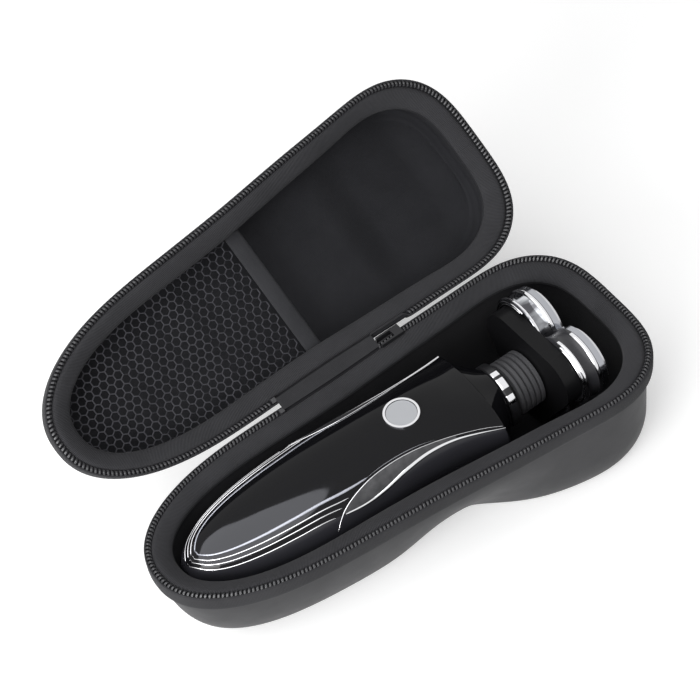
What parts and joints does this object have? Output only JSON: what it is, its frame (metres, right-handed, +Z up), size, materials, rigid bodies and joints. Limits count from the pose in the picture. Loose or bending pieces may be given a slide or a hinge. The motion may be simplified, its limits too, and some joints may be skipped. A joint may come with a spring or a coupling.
{
  "type": "electric shaver hard case",
  "caption": "Zipped clamshell hard case, open, with a soft lining and a net pocket in its lid, and an electric shaver with rotary cutters lying in its tray.",
  "frame": {"origin": "middle of the case's length and width, on the flat underside it stands on", "axes": "+X towards the shaver's head, +Y towards the hinge and the open lid, +Z up"},
  "size_m": [0.2135, 0.1601, 0.103],
  "materials": {
    "case_shell": "satin woven cover over pressed foam",
    "lining": "smooth knitted lining",
    "ribbed_binding": "fine ribs across the strip",
    "zipper_tape": "woven tape",
    "zipper_teeth": "moulded coil",
    "black_metal": "satin black",
    "net": "knitted honeycomb net",
    "elastic": "woven elastic",
    "gloss_black": "high gloss",
    "satin_black": "satin",
    "chrome": "polished",
    "grip_panel": "finely textured",
    "brushed_disc": "brushed round its middle",
    "collar": "satin with bright segments",
    "bellows_rubber": "matt",
    "head_metal": "polished",
    "holder_grey": "satin",
    "steel": "fine brushed",
    "inner_plastic": "matt",
    "battery_sleeve": "plain sleeve",
    "motor_can": "plain",
    "board_green": "matt",
    "gear_plastic": "matt"
  },
  "bodies": {
    "tray": {"tray_shell": "case_shell", "tray_liner": "lining", "tray_binding": "ribbed_binding", "tray_zipper_tape": "zipper_tape", "tray_zipper_teeth": "zipper_teeth", "tray_zipper_stop": "black_metal", "tray_hinge_strip": "zipper_tape"},
    "lid": {"lid_shell": "case_shell", "lid_liner": "lining", "lid_binding": "ribbed_binding", "lid_zipper_tape": "zipper_tape", "lid_zipper_teeth": "zipper_teeth", "lid_zipper_stop": "black_metal", "lid_hinge_strip": "zipper_tape", "pocket_net": "net", "pocket_edge": "elastic"},
    "zip_slider": {"slider_body": "black_metal", "slider_pin": "black_metal"},
    "pull_tab": {"pull_tab": "black_metal"},
    "shaver": {"front_cover": "gloss_black", "rear_housing": "satin_black", "side_trim": "chrome", "side_panel_left": "grip_panel", "side_panel_right": "grip_panel", "tail_stripes": "chrome", "button_bezel": "chrome", "neck_socket": "satin_black", "release_collar": "collar", "chassis": "inner_plastic", "battery": "battery_sleeve", "motor": "motor_can", "circuit_board": "board_green"},
    "power_button": {"power_button": "brushed_disc"},
    "head": {"head_stem": "satin_black", "head_bellows": "bellows_rubber", "head_base": "gloss_black", "head_frame": "head_metal", "shaving_holder": "holder_grey"},
    "motor_shaft": {"motor_shaft": "steel"},
    "drive_gear": {"drive_gear": "gear_plastic"},
    "cap_left": {"cap_left": "steel"},
    "cutter_left": {"cutter_left": "steel"},
    "cap_right": {"cap_right": "steel"},
    "cutter_right": {"cutter_right": "steel"},
    "cap_lower": {"cap_lower": "steel"},
    "cutter_lower": {"cutter_lower": "steel"}
  },
  "joints": [
    {"name": "lid_hinge", "type": "hinge", "parent": "tray", "child": "lid", "pos_m": [0, 0.03782, 0.052], "axis": [-0.9981, -0.0617, 0], "range_deg": [-142.31, 8]},
    {"name": "slider_travel", "type": "slide", "parent": "tray", "child": "zip_slider", "axis": [0.9981, 0.0617, 0], "range_m": [0, 0.006]},
    {"name": "pull_tab_swing", "type": "hinge", "parent": "zip_slider", "child": "pull_tab", "pos_m": [0.02459, 0.04084, 0.049], "axis": [0.9981, 0.0617, 0], "range_deg": [0, 20]},
    {"name": "shaver_lift", "type": "slide", "parent": "tray", "child": "shaver", "axis": [0, 0, 1], "range_m": [0, 0.065]},
    {"name": "button_press", "type": "slide", "parent": "shaver", "child": "power_button", "axis": [0, 0, -1], "range_m": [0, 0.0008], "stiffness_N_per_m": 1500, "springref_m": -0.0003},
    {"name": "head_flex", "type": "hinge", "parent": "shaver", "child": "head", "pos_m": [0.0473, 0, 0.034], "axis": [0, 0, 1], "range_deg": [-6.2, 1.2], "stiffness_Nm_per_rad": 2},
    {"name": "cap_left_press", "type": "slide", "parent": "head", "child": "cap_left", "axis": [-0.999, -0.0436, 0], "range_m": [0, 0.001], "stiffness_N_per_m": 800, "springref_m": -0.0004},
    {"name": "cap_right_press", "type": "slide", "parent": "head", "child": "cap_right", "axis": [-0.999, -0.0436, 0], "range_m": [0, 0.001], "stiffness_N_per_m": 800, "springref_m": -0.0004},
    {"name": "cap_lower_press", "type": "slide", "parent": "head", "child": "cap_lower", "axis": [-0.999, -0.0436, 0], "range_m": [0, 0.001], "stiffness_N_per_m": 800, "springref_m": -0.0004},
    {"name": "motor_spin", "type": "hinge", "parent": "shaver", "child": "motor_shaft", "pos_m": [0.0473, 0, 0.0355], "axis": [1, 0, 0], "continuous": true},
    {"name": "drive_gear_spin", "type": "hinge", "parent": "head", "child": "drive_gear", "pos_m": [0.0473, 0, 0.0355], "axis": [0.999, 0.0436, 0], "continuous": true},
    {"name": "cutter_left_spin", "type": "hinge", "parent": "cap_left", "child": "cutter_left", "pos_m": [0.04673, 0.01298, 0.043], "axis": [0.999, 0.0436, 0], "continuous": true},
    {"name": "cutter_right_spin", "type": "hinge", "parent": "cap_right", "child": "cutter_right", "pos_m": [0.04787, -0.01298, 0.043], "axis": [0.999, 0.0436, 0], "continuous": true},
    {"name": "cutter_lower_spin", "type": "hinge", "parent": "cap_lower", "child": "cutter_lower", "pos_m": [0.0473, 0, 0.0205], "axis": [0.999, 0.0436, 0], "continuous": true}
  ],
  "couplings": [
    {"joint": "drive_gear_spin", "follows": "motor_spin", "ratio": 1},
    {"joint": "cutter_left_spin", "follows": "motor_spin", "ratio": -0.66667},
    {"joint": "cutter_right_spin", "follows": "motor_spin", "ratio": -0.66667},
    {"joint": "cutter_lower_spin", "follows": "motor_spin", "ratio": -0.66667}
  ]
}
